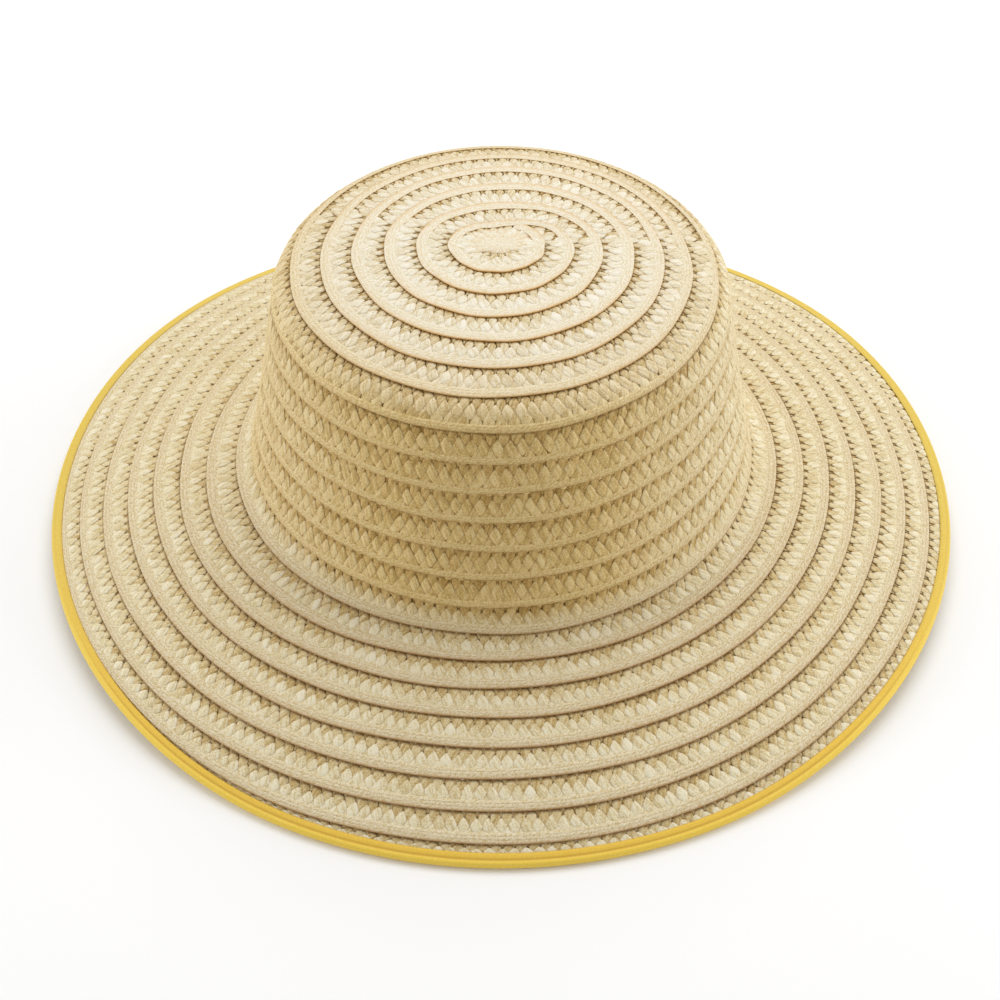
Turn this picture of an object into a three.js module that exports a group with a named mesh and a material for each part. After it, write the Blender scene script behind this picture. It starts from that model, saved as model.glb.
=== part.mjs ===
import * as THREE from 'three';
import { mergeVertices } from 'three/addons/utils/BufferGeometryUtils.js';

// A wide brim straw hat, in millimetres, resting on its brim with +Z up and its front towards -Y.
// One flat plait is sewn in a spiral from the middle of the tip to the edge of the brim. Each turn
// lies over the next one outwards, so every course ends in a small step. A folded cloth tape binds
// the cut edge.

// Profile of the straw, from the middle of the tip to the cut edge. Each row is one arc: its length
// along the straw, the slope where it ends, in degrees below level, and the turns of plait it holds.
const PROFILE_ARCS = [
  { name: 'dome', length: 39, endSlope: 5, turns: 3.56 },
  { name: 'domeEdge', length: 32, endSlope: 17, turns: 2.92 },
  { name: 'shoulder', length: 13, endSlope: 80.5, turns: 1.16 },
  { name: 'side', length: 68, endSlope: 76.5, turns: 6.02 },
  { name: 'flare', length: 12.5, endSlope: 8.5, turns: 1.25 },
  { name: 'brim', length: 72.4, endSlope: 29.5, turns: 7.06 },
];

// Columns of points round the hat
const COLUMNS = 52;

// The spiral of courses: turns from the middle to the first step, on the right hand side
const FIRST_STEP_TURNS = 1.14;
const TURNS_BEFORE_FIRST_STEP = 3;

// Where the plait was sewn further out or in than an even spiral. A row gives the turns where that
// starts, is full, is still full and ends, then the middle of its side of the hat and half its width,
// both as a share of a turn, and how far out the plait lies there, in courses.
const SWAYS = [
  { turns: [-9, -8, 2.5, 6], middle: 0.75, halfWidth: 0.25, courses: -0.62 },
  { turns: [-9, -8, 1, 3.2], middle: 0, halfWidth: 0.25, courses: 0.24 },
  { turns: [4.5, 9, 13, 15], middle: 0.9, halfWidth: 0.35, courses: -0.7 },
  { turns: [13.7, 15.5, 20.4, 21.97], middle: 0.75, halfWidth: 0.25, courses: -0.72 },
  { turns: [13.7, 15.5, 20.4, 21.97], middle: 0.42, halfWidth: 0.17, courses: 0.36 },
];
const SWAY_PASSES = 30;

// Height of the outer surface across one course, from the foot of the last step (across = 0) to the
// foot of its own step (across = 1)
const COURSE_ROWS = [
  { name: 'foot', across: 0, height: 0 },
  { name: 'bandStart', across: 0.64, height: 0.75 },
  { name: 'lip', across: 0.96, height: 1.1 },
];
const WALL_BELOW_FOOT = 1.5;
const BUTTON_HEIGHT = 0.8;
const BUTTON_FADE = 7;
const INNER_ROW_LENGTH = 24;
const INNER_ROW_BEND = 12;
const PIECE_GAP = 0.3;

// The sides of the brim lift a little, and its front and back lie on the table
const SIDE_LIFT = 5.7;
const LIFT_START_RADIUS = 100;
const LIFT_HALF_ANGLE = 65;

// The folded tape, as a section round the cut edge: along is outwards from the cut edge, and above is
// out of the straw's upper face. The rows from flatOuter to flatInner lie flat on the table.
const TAPE_ROWS = [
  { name: 'topSlotMouth', along: -3.6, above: 0.55 },
  { name: 'topLipEdge', along: -3.6, above: 1.0 },
  { name: 'topLip', along: -1.6, above: 1.15 },
  { name: 'stitchGroove', along: -1.3, above: 0.85 },
  { name: 'beadInner', along: -1.0, above: 1.2 },
  { name: 'beadTop', along: -0.2, above: 1.5 },
  { name: 'beadShoulder', along: 0.6, above: 1.2 },
  { name: 'beadOuter', along: 1.15, above: 0.5 },
  { name: 'beadUnder', along: 1.3, above: -0.3 },
  { name: 'flatOuter', along: 0.95, above: -1.5 },
  { name: 'flatInner', along: -0.8, above: -2.35 },
  { name: 'underBead', along: -2.0, above: -1.9 },
  { name: 'underLipEdge', along: -3.6, above: -1.7 },
  { name: 'underSlotMouth', along: -3.6, above: -1.15 },
  { name: 'underSlotEnd', along: 0.3, above: -1.15 },
  { name: 'topSlotEnd', along: 0.3, above: 0.55 },
];
const FLAT_BELOW_EDGE = 1.76;

// The straw's edge is pressed thin where it goes into the tape
const TONGUE_LENGTH = 4.3;
const TONGUE_TAPER = 0.4;
const TONGUE_TOP = 0.25;
const TONGUE_BOTTOM = -0.85;

const STRAW_COLOUR = '#d8c69e';
const TAPE_COLOUR = '#e7c24c';
const MERGE_DISTANCE = 1e-4;

// Each arc with the distance, turns, radius, drop and slope where it starts.
function measureArcs() {
  const arcs = [];
  let start = 0;
  let startTurns = 0;
  let radius = 0;
  let drop = 0;
  let slope = 0;
  for (const row of PROFILE_ARCS) {
    const endSlope = THREE.MathUtils.degToRad(row.endSlope);
    const bend = (endSlope - slope) / row.length;
    const pitch = row.length / row.turns;
    const end = start + row.length;
    arcs.push({ name: row.name, start, end, startTurns, pitch, radius, drop, slope, bend });
    radius += (Math.sin(endSlope) - Math.sin(slope)) / bend;
    drop += (Math.cos(slope) - Math.cos(endSlope)) / bend;
    start = end;
    startTurns += row.turns;
    slope = endSlope;
  }
  return { arcs, length: start, turns: startTurns, drop };
}

const PROFILE = measureArcs();
const APEX_HEIGHT = PROFILE.drop + FLAT_BELOW_EDGE;

function startOfArc(name) {
  return PROFILE.arcs.find((arc) => arc.name === name).start;
}

function arcAt(distance) {
  return PROFILE.arcs.findLast((arc) => distance >= arc.start) ?? PROFILE.arcs[0];
}

// Turns of plait up to a distance along the straw, and the other way round.
function turnsAt(distance) {
  const arc = arcAt(distance);
  return arc.startTurns + (distance - arc.start) / arc.pitch;
}

function distanceAt(turns) {
  const arc = PROFILE.arcs.findLast((candidate) => turns >= candidate.startTurns) ?? PROFILE.arcs[0];
  return arc.start + (turns - arc.startTurns) * arc.pitch;
}

// How far out of an even spiral the plait lies on one column, in courses.
function swayAt(turns, column) {
  let courses = 0;
  for (const sway of SWAYS) {
    const [start, full, stillFull, end] = sway.turns;
    const turn = column / COLUMNS - sway.middle;
    const off = Math.abs(turn - Math.round(turn)) / sway.halfWidth;
    const roundTheHat = Math.cos((Math.PI / 2) * Math.min(1, off)) ** 2;
    const alongThePlait = Math.min((turns - start) / (full - start), (end - turns) / (end - stillFull));
    courses += sway.courses * roundTheHat * THREE.MathUtils.clamp(alongThePlait, 0, 1);
  }
  return courses;
}

// Courses reached after a number of turns of the spiral on one column, and the other way round.
function coursesReached(turns, column) {
  return turns + swayAt(turns, column);
}

function turnsToReach(courses, column) {
  let turns = courses;
  for (let pass = 0; pass < SWAY_PASSES; pass += 1) {
    turns = courses - swayAt(turns, column);
  }
  return turns;
}

// Point of the profile at a distance along the straw, with its slope.
function profileAt(distance) {
  const arc = arcAt(distance);
  const slope = arc.slope + arc.bend * (distance - arc.start);
  return {
    radius: arc.radius + (Math.sin(slope) - Math.sin(arc.slope)) / arc.bend,
    height: APEX_HEIGHT - arc.drop - (Math.cos(arc.slope) - Math.cos(slope)) / arc.bend,
    slope,
  };
}

// How far the side of the brim lifts at a radius and a turn angle.
function liftAt(radius, angle) {
  const edgeRadius = profileAt(PROFILE.length).radius;
  const outwards = Math.max(0, (radius - LIFT_START_RADIUS) / (edgeRadius - LIFT_START_RADIUS));
  const flatBelow = Math.cos(THREE.MathUtils.degToRad(LIFT_HALF_ANGLE));
  const towardsSide = THREE.MathUtils.smoothstep(Math.abs(Math.cos(angle)), flatBelow, 1);
  return SIDE_LIFT * towardsSide * outwards * outwards;
}

// A point at a radius and height, turned clockwise round +Z as seen from above, starting at +X.
function turnedPoint(radius, height, column) {
  const angle = (2 * Math.PI * (column % COLUMNS)) / COLUMNS;
  const lifted = height + liftAt(radius, angle);
  return new THREE.Vector3(radius * Math.cos(angle), -radius * Math.sin(angle), lifted);
}

// A point at a distance along the straw and a height above its foot line.
function strawPoint(distance, above, column) {
  const point = profileAt(distance);
  const radius = point.radius + above * Math.sin(point.slope);
  const height = point.height + above * Math.cos(point.slope);
  return turnedPoint(Math.max(0, radius), height, column);
}

// Height of the outer surface above the foot line at a distance along the straw, on one column.
function reliefAt(distance, column) {
  const turns = turnsToReach(turnsAt(distance), column) - FIRST_STEP_TURNS - (column % COLUMNS) / COLUMNS;
  const across = turns - Math.floor(turns);
  const next = COURSE_ROWS.findIndex((row) => row.across > across);
  const after = next < 0 ? { across: 1, height: COURSE_ROWS[0].height } : COURSE_ROWS[next];
  const before = COURSE_ROWS.at(next < 0 ? -1 : next - 1);
  const share = (across - before.across) / (after.across - before.across);
  const height = THREE.MathUtils.lerp(before.height, after.height, share);
  return THREE.MathUtils.lerp(BUTTON_HEIGHT, height, THREE.MathUtils.smoothstep(distance, 0, BUTTON_FADE));
}

// Outer points of one column between two distances. Each course row runs on as a spiral, and a row
// that lies outside the piece is held at the piece's end, where its points fall together.
function outerColumn(from, to, column) {
  const points = [];
  for (let turn = -TURNS_BEFORE_FIRST_STEP; turn <= PROFILE.turns; turn += 1) {
    for (const row of COURSE_ROWS) {
      const turns = turn + FIRST_STEP_TURNS + row.across + column / COLUMNS;
      const distance = THREE.MathUtils.clamp(distanceAt(coursesReached(turns, column)), from, to);
      points.push(strawPoint(distance, reliefAt(distance, column), column));
    }
  }
  return points;
}

// Distances of the inner rows between two ends, closer together where the straw bends more.
function innerDistances(from, to) {
  const distances = [from];
  for (const arc of PROFILE.arcs) {
    const near = Math.max(from, arc.start);
    const far = Math.min(to, arc.end);
    const length = Math.max(0, far - near);
    const turned = THREE.MathUtils.radToDeg(Math.abs(arc.bend) * length);
    const steps = Math.ceil(Math.max(length / INNER_ROW_LENGTH, turned / INNER_ROW_BEND));
    for (let step = 1; step <= steps; step += 1) {
      distances.push(near + (length * step) / steps);
    }
  }
  return distances;
}

// Inner points of one column, from the far end back to the near one.
function innerColumn(from, to, column) {
  const distances = innerDistances(from, to).reverse();
  return distances.map((distance) => strawPoint(distance, -WALL_BELOW_FOOT, column));
}

// Closed body through a ring of columns, each one a closed loop with the same number of points.
function bodyThroughColumns(columnLoop) {
  const loops = [];
  for (let column = 0; column <= COLUMNS; column += 1) {
    loops.push(columnLoop(column));
  }
  const size = loops[0].length;
  const positions = loops.flat().flatMap((point) => point.toArray());
  const geometry = new THREE.BufferGeometry();
  geometry.setAttribute('position', new THREE.Float32BufferAttribute(positions, 3));
  const corners = [];
  for (let column = 0; column < COLUMNS; column += 1) {
    for (let step = 0; step < size; step += 1) {
      const here = column * size + step;
      const onwards = column * size + ((step + 1) % size);
      corners.push(here, here + size, onwards + size, here, onwards + size, onwards);
    }
  }
  geometry.setIndex(corners);
  return withoutFlatTriangles(mergeVertices(geometry, MERGE_DISTANCE));
}

// The same geometry without the triangles whose corners fall together.
function withoutFlatTriangles(geometry) {
  const index = geometry.getIndex();
  const kept = [];
  for (let corner = 0; corner < index.count; corner += 3) {
    const triangle = [index.getX(corner), index.getX(corner + 1), index.getX(corner + 2)];
    if (new Set(triangle).size === 3) {
      kept.push(...triangle);
    }
  }
  geometry.setIndex(kept);
  geometry.computeVertexNormals();
  return geometry;
}

// A stretch of the sewn plait, with an optional tongue at its outer end.
function strawStretch(from, to, tongue = []) {
  return bodyThroughColumns((column) => [
    ...outerColumn(from, to, column),
    ...tongue.map((row) => strawPoint(row.distance, row.above, column)),
    ...innerColumn(from, to, column),
  ]);
}

function brimTongue() {
  const edge = PROFILE.length;
  const thinFrom = edge - TONGUE_LENGTH + TONGUE_TAPER;
  return [
    { distance: thinFrom, above: TONGUE_TOP },
    { distance: edge, above: TONGUE_TOP },
    { distance: edge, above: TONGUE_BOTTOM },
    { distance: thinFrom, above: TONGUE_BOTTOM },
  ];
}

// The folded tape, turned round the cut edge and laid flat where it meets the table.
function foldedTape() {
  const edge = profileAt(PROFILE.length);
  return bodyThroughColumns((column) => TAPE_ROWS.map((row) => {
    const radius = edge.radius + row.along * Math.cos(edge.slope) + row.above * Math.sin(edge.slope);
    const height = edge.height - row.along * Math.sin(edge.slope) + row.above * Math.cos(edge.slope);
    const restsFlat = row.name === 'flatOuter' || row.name === 'flatInner';
    return turnedPoint(radius, restsFlat ? 0 : height, column);
  }));
}

function strawMaterial() {
  return new THREE.MeshStandardMaterial({ color: STRAW_COLOUR, roughness: 0.7, metalness: 0 });
}

function tapeMaterial() {
  return new THREE.MeshStandardMaterial({ color: TAPE_COLOUR, roughness: 0.65, metalness: 0 });
}

function addPiece(group, name, geometry, material) {
  const mesh = new THREE.Mesh(geometry, material);
  mesh.name = name;
  group.add(mesh);
}

const sideStart = startOfArc('side');
const flareStart = startOfArc('flare');
const tapeStart = PROFILE.length - TONGUE_LENGTH;
const halfGap = PIECE_GAP / 2;
const hat = new THREE.Group();

addPiece(hat, 'crown_tip', strawStretch(0, sideStart - halfGap), strawMaterial());
addPiece(hat, 'crown_side', strawStretch(sideStart + halfGap, flareStart - halfGap), strawMaterial());
addPiece(hat, 'brim', strawStretch(flareStart + halfGap, tapeStart, brimTongue()), strawMaterial());
addPiece(hat, 'edge_binding', foldedTape(), tapeMaterial());

export default hat;
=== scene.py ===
# %% [markdown]
# # A wide brim straw hat
# The real hat is one long flat straw plait, about 12 metres of it, sewn in a spiral from the middle of
# the crown to the edge of the brim. Every turn lies over the next one outwards, so each course ends in a
# small step. A yellow cloth tape is folded over the cut edge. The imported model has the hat's form as four
# plain solids. This lesson keeps that form and weaves the plait itself.

import math
from functools import partial

import bpy
import numpy as np
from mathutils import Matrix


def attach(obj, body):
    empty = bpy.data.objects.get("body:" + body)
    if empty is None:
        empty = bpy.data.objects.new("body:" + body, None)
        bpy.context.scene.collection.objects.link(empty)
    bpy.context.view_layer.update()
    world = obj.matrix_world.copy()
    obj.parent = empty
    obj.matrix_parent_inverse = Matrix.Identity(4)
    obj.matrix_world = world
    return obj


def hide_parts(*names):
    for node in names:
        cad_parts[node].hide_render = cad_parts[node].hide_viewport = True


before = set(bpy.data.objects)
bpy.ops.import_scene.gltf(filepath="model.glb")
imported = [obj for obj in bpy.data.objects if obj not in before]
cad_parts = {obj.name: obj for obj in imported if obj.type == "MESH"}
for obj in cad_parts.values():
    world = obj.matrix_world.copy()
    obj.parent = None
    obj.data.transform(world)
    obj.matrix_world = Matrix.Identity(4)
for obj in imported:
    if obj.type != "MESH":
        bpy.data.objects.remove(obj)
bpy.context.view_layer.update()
print("packed nodes:", sorted(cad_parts))

# %% [markdown]
# ## The hat's profile and its spiral
# Seen from the side, the straw runs from the middle of the tip to the cut edge in six arcs, each with a
# length, a slope where it ends, and a number of turns of plait. A hat block could be modelled by hand and
# the plait projected on it, but with arcs every point is exact, and the pitch of the courses can change
# slowly. A place on the plait is three numbers: the turn that it has reached, how far it lies across its
# course, and its height above the foot of the step.

# %% Profile and spiral
MM = 0.001
PROFILE_ARCS = [  # name, length in mm, slope at the end in degrees below level, turns of plait
    ("dome", 39.0, 5.0, 3.56),
    ("dome edge", 32.0, 17.0, 2.92),
    ("shoulder", 13.0, 80.5, 1.16),
    ("side", 68.0, 76.5, 6.02),
    ("flare", 12.5, 8.5, 1.25),
    ("brim", 72.4, 29.5, 7.06),
]
FIRST_STEP_TURNS = 1.14
SWAYS = [  # turns where it starts, is full, is still full and ends, middle and half width of a turn, courses
    (-9.0, -8.0, 2.5, 6.0, 0.75, 0.25, -0.62),
    (-9.0, -8.0, 1.0, 3.2, 0.0, 0.25, 0.24),
    (4.5, 9.0, 13.0, 15.0, 0.90, 0.35, -0.70),
    (13.7, 15.5, 20.4, 21.97, 0.75, 0.25, -0.72),
    (13.7, 15.5, 20.4, 21.97, 0.42, 0.17, 0.36),
]
EDGE_HEIGHT = 1.76
SIDE_LIFT, LIFT_START_RADIUS, LIFT_HALF_ANGLE = 5.7, 100.0, 65.0  # mm, mm and degrees

lengths = np.array([arc[1] for arc in PROFILE_ARCS])
slopes = np.radians([0.0] + [arc[2] for arc in PROFILE_ARCS])
bends = np.diff(slopes) / lengths
arc_starts = np.concatenate([[0.0], np.cumsum(lengths)])
turn_starts = np.concatenate([[0.0], np.cumsum([arc[3] for arc in PROFILE_ARCS])])
radius_starts = np.concatenate([[0.0], np.cumsum(np.diff(np.sin(slopes)) / bends)])
drop_starts = np.concatenate([[0.0], np.cumsum(-np.diff(np.cos(slopes)) / bends)])
EDGE_DISTANCE, EDGE_RADIUS = arc_starts[-1], radius_starts[-1]
APEX_HEIGHT = drop_starts[-1] + EDGE_HEIGHT


def smooth_step(value, low, high):
    """0 up to low and 1 from high on, with a soft change between."""
    share = np.clip((value - low) / (high - low), 0, 1)
    return share * share * (3 - 2 * share)


def distance_at(turns):
    return np.interp(turns, turn_starts, arc_starts)


def turns_at(distance):
    return np.interp(distance, arc_starts, turn_starts)


def swayed(turns, turn):
    """Courses reached at a turn of the spiral. In places the plait was sewn a little further in or out."""
    courses = turns
    for start, full, still_full, end, middle, half_width, share in SWAYS:
        off = (turn - middle + 0.5) % 1 - 0.5
        round_the_hat = np.cos(np.pi / 2 * np.clip(off / half_width, -1, 1)) ** 2
        strength = np.interp(turns, (start, full, still_full, end), (0, 1, 1, 0))
        courses = courses + share * round_the_hat * strength
    return courses


def profile_at(distance):
    """Radius, height and slope of the straw at a distance from the middle of the tip, in mm and radians."""
    distance = np.clip(distance, 0, EDGE_DISTANCE)
    arc = np.clip(np.searchsorted(arc_starts, distance, side="right") - 1, 0, len(lengths) - 1)
    slope = slopes[arc] + bends[arc] * (distance - arc_starts[arc])
    radius = radius_starts[arc] + (np.sin(slope) - np.sin(slopes[arc])) / bends[arc]
    drop = drop_starts[arc] + (np.cos(slopes[arc]) - np.cos(slope)) / bends[arc]
    return radius, APEX_HEIGHT - drop, slope


def turned(radius, height, turn):
    """Points in metres, turned clockwise from +X as seen from above, with the lift of the brim's sides."""
    angle = 2 * np.pi * turn
    outwards = np.clip((radius - LIFT_START_RADIUS) / (EDGE_RADIUS - LIFT_START_RADIUS), 0, None)
    flat_below = math.cos(math.radians(LIFT_HALF_ANGLE))
    lift = SIDE_LIFT * smooth_step(np.abs(np.cos(angle)), flat_below, 1) * outwards**2
    return MM * np.stack([radius * np.cos(angle), -radius * np.sin(angle), height + lift], axis=-1)


def hat_points(distance, above, turn):
    radius, height, slope = profile_at(distance)
    return turned(radius + above * np.sin(slope), height + above * np.cos(slope), turn)


print(f"straw {EDGE_DISTANCE:.1f} mm long, {turn_starts[-1]:.2f} turns, edge at radius {EDGE_RADIUS:.1f} mm")

# %% [markdown]
# ## The plait's units
# Along the plait the weave repeats every 4 mm. Equal angles would stretch the units as the spiral grows,
# so they are stepped off one after another, as a sewer feeds the plait in. A slow wave of about a fifth
# of a millimetre keeps the courses from looking machine cut.

# %% Units along the spiral
UNIT = 4.0  # mm along the plait
PITCH = 10.7  # mm across a course, in the straight plait
START_TURN = -1.4
SMALLEST_COIL = 6.0
UNITS_ACROSS = 0.5  # the place across the course where the units are 4 mm long
CUT_DISTANCE = EDGE_DISTANCE - 2.2
PRESS_START, PRESS_END, PRESSED = EDGE_DISTANCE - 4.6, EDGE_DISTANCE - 3.4, 0.4
SHOWN_END, SHOWN_ACROSS, LEAST_ROOM = EDGE_DISTANCE - 3.3, 0.47, 0.35
BRIM_PITCH = float(lengths[-1] / PROFILE_ARCS[-1][3])
SEWING_WAVES = [(0.012, 7.3, 0.0), (0.01, 11.7, 1.0)]  # courses in or out, waves in a turn, phase


def front_share(turn, sines):
    """0 at the back and 1 at the front of the hat, with a soft change from the first sine to the second."""
    return smooth_step(np.sin(2 * np.pi * turn), *sines)


def course_distance(turn, across):
    """Distance along the straw of a place across the course. Beside the tape the course has less room."""
    wave = sum(size * np.sin(turn * 2 * np.pi * waves + phase) for size, waves, phase in SEWING_WAVES)
    foot = distance_at(swayed(FIRST_STEP_TURNS + turn, turn) + wave)
    distance = distance_at(swayed(FIRST_STEP_TURNS + turn + across, turn) + wave)
    room = np.clip((SHOWN_END - foot) / (SHOWN_ACROSS * BRIM_PITCH), LEAST_ROOM, 1)
    distance = np.where(np.greater(across, 0), foot + room * (distance - foot), distance)
    return np.clip(distance, 0, CUT_DISTANCE)


def step_off_units():
    turns = [START_TURN]
    last = turns_at(CUT_DISTANCE) - FIRST_STEP_TURNS
    while turns[-1] < last:
        radius = float(profile_at(course_distance(turns[-1], UNITS_ACROSS))[0])
        turns.append(turns[-1] + UNIT / (2 * math.pi * max(radius, SMALLEST_COIL)))
    return np.array(turns)


unit_turns = step_off_units()
unit_numbers = np.arange(len(unit_turns))
print(f"{len(unit_turns)} units, {len(unit_turns) * UNIT / 1000:.1f} m of plait")

# %% [markdown]
# ## Helpers for nodes, colours and meshes
# Every node tree here is put together by one function that adds a node, gives it its settings, and fills
# or links its inputs. Trees could be drawn by hand and appended from a file, but a script that builds
# them can be read and run again. Colours are hex values, as one reads them off a picture, and one
# function turns them into the linear light that Blender works in.

# %% Helpers
ADD, SUBTRACT, MULTIPLY, MULTIPLY_ADD, DIVIDE, ABSOLUTE, MAXIMUM, SCALE = (
    {"operation": name}
    for name in ("ADD", "SUBTRACT", "MULTIPLY", "MULTIPLY_ADD", "DIVIDE", "ABSOLUTE", "MAXIMUM", "SCALE")
)
SOFTLY, COLOURS = {"interpolation_type": "SMOOTHSTEP"}, {"data_type": "RGBA"}


def live_output(source):
    """The first live output of a node. A socket or a plain value is given back as it is."""
    if isinstance(source, bpy.types.Node):
        return next(socket for socket in source.outputs if socket.enabled)
    return source


def add_node(tree, kind, settings=None, inputs=None):
    node = tree.nodes.new(kind)
    for name, value in (settings or {}).items():
        setattr(node, name, value)
    for name, value in (inputs or {}).items():
        value = live_output(value)
        if isinstance(value, bpy.types.NodeSocket):
            tree.links.new(value, node.inputs[name])
        else:
            node.inputs[name].default_value = value
    return node


def linear(hex_colour):
    parts = [int(hex_colour[place : place + 2], 16) / 255 for place in (1, 3, 5)]
    return (*[p / 12.92 if p <= 0.04045 else ((p + 0.055) / 1.055) ** 2.4 for p in parts], 1.0)


def new_mesh(name, points, faces, material=None):
    mesh = bpy.data.meshes.new(name)
    mesh.from_pydata(points, [], faces)
    if material:
        mesh.shade_smooth()
        mesh.materials.append(material)
    return mesh


def store(mesh, name, values):
    """Gives each point of the mesh one number, or three, under a name that a tree can read."""
    values = np.reshape(values, (len(mesh.vertices), -1))
    kind, field = ("FLOAT_VECTOR", "vector") if values.shape[1] == 3 else ("FLOAT", "value")
    mesh.attributes.new(name, kind, "POINT").data.foreach_set(field, values.ravel())


def put_in_scene(thing):
    bpy.context.scene.collection.objects.link(thing)
    return thing


print("middle grey in linear light:", round(linear("#808080")[0], 3))

# %% [markdown]
# ## Parts that the finishes share
# Every finish of the straw has three colours, mixed by height: painted light and shade on one straw.
# The tip is painted palest, as lit from above, the side darker and warmer, as painted shade, and the
# brim between them. The side is painted paler to the right, and a little to the left, as painted light.
# Three separate materials would show a hard line at the shoulder. Broken fibres and dust give a fine
# grain.

# %% Painted light by height, grain and the shader's inputs
GRAIN = 0.5  # broken fibres and dust, in mm
SHOULDER_HEIGHTS, FLARE_HEIGHTS = (116.5, 103.0), (37.0, 24.5)
SIDE_PAINTED_LIGHT = ((25.0, 85.0, 0.85), (-30.0, -85.0, 0.35))  # painted light on the side's right and left: mm, strength
EVEN_STOPS = (0.3, 0.7)
STRAW_SHEEN = 0.2


def new_material(name):
    """A material, the function that adds nodes to its tree, and its shader."""
    material = bpy.data.materials.new(name)
    material.use_nodes = True
    tree = material.node_tree
    return material, partial(add_node, tree), tree.nodes["Principled BSDF"]


def painted_light_by_height(add, tip, side, brim):
    """One colour out of three, by the height above the table: painted light on the tip, painted shade on the
    side, and painted light on the side's right and left.
    """
    place = add("ShaderNodeTexCoord").outputs["Object"]
    x, _, z = add("ShaderNodeSeparateXYZ", None, {0: place}).outputs
    for start, end, strength in SIDE_PAINTED_LIGHT:
        painted_light = add("ShaderNodeMapRange", SOFTLY, {0: x, 1: start * MM, 2: end * MM, 4: strength})
        side = add("ShaderNodeMix", COLOURS, {0: painted_light, 6: side, 7: brim})
    colour = tip
    for (start, end), below in ((SHOULDER_HEIGHTS, side), (FLARE_HEIGHTS, brim)):
        share = add("ShaderNodeMapRange", SOFTLY, {0: z, 1: start * MM, 2: end * MM})
        colour = add("ShaderNodeMix", COLOURS, {0: share, 6: colour, 7: below})
    return colour


def with_grain(add, factor, strength):
    """The factor, made a little higher or lower by the grain."""
    place = add("ShaderNodeTexCoord").outputs["Object"]
    grain = add("ShaderNodeTexNoise", None, {"Vector": place, "Scale": 1 / (GRAIN * MM), "Detail": 1.0})
    shift = add("ShaderNodeMath", MULTIPLY_ADD, {0: grain, 1: strength, 2: -strength / 2})
    return add("ShaderNodeMath", ADD, {0: factor, 1: shift})


def tones_of(add, factor, stops, tones):
    """The colours of a finish, one for each place on the hat, from dark to pale as the factor rises."""
    colours = []
    for tone in tones:
        ramp = add("ShaderNodeValToRGB", None, {0: factor})
        elements = ramp.color_ramp.elements
        while len(elements) < len(stops):
            elements.new(stops[1])
        for element, stop, colour in zip(elements, stops, tone.split()):
            element.position = stop
            element.color = linear(colour)
        colours.append(ramp)
    return colours


def finish_surface(add, shader, colour, roughness, sheen=0.5, height=None, bump=None):
    """Joins a colour and a bump to the shader. A bump has a strength and a depth in mm."""
    links = shader.id_data.links
    links.new(live_output(colour), shader.inputs["Base Color"])
    shader.inputs["Roughness"].default_value = roughness
    shader.inputs["Specular IOR Level"].default_value = sheen
    if bump:
        strength, depth = bump
        relief = {"Strength": strength, "Distance": depth * MM, "Height": height}
        links.new(live_output(add("ShaderNodeBump", None, relief)), shader.inputs["Normal"])


print("straw changes colour between the heights", SHOULDER_HEIGHTS, "and", FLARE_HEIGHTS, "mm")

# %% [markdown]
# ## Straw
# The plait is flattened natural straw. It is pale and a little shiny, with fine fibres along each strand,
# and no two strands have quite the same tone. A picture of straw could be laid on, but every strand would
# need its own place in it. So the colour reads two attributes of the strand's mesh: straw_place (across
# the strand, along it, and the millimetres from fibre to fibre) and straw_tone, one number for each
# strand.

# %% Straw material
FIBRE_SPACING = 0.8  # real fibres are about 0.2 mm apart, drawn coarser so that they show
FIBRE_CONTRAST, FIBRE_BUMP = 1.3, (0.4, 0.2)
FIBRE_SHIFT = 90.0  # a long way in the noise from strand to strand, so that no two have the same fibres
STRAND_GRAIN, TONE_SPREAD = 1.0, 0.1
# painted shade along the strand's edges: where it starts across the strand, and its strength
EDGE_START, EDGE_SHADE = 0.73, 0.88
STRAND_STOPS, STRAND_ROUGHNESS = (0.2, 0.5, 0.8), 0.5
STRAWS = {  # tones and painted shades of the tip, the side and the brim; painted shade at the tucked end: from and to along the strand, strength
    "natural straw": (
        ("#dac8a0 #ebe2ca #f4edde", "#be9c5a #d9bc7c #e8d098", "#cfb987 #e5d8b2 #efe6cc"),
        ("#c2a26a", "#64461a", "#9e7c46"),
        (0.02, 0.14, 0.5),
    ),
    # the tucked and buried strands are darker copies of the same straw: painted shade for rows low in the
    # weave
    "natural straw, tucked strands in painted shade": (
        ("#c0a268 #dccaa0 #ebe0c6", "#a48240 #c8a664 #dabd7e", "#b49457 #d3bc89 #e2d2a9"),
        ("#c29a56", "#604218", "#84602e"),
        (0.22, 0.36, 0.7),
    ),
    "natural straw, buried strands in painted shade": (
        ("#a98a50 #cdb580 #dfcfa8", "#94723a #b89656 #cdb074", "#9d7d48 #c0a673 #d2be92"),
        ("#b08a4c", "#8a6430", "#805a28"),
        (0.35, 0.5, 0.5),
    ),
}


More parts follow.
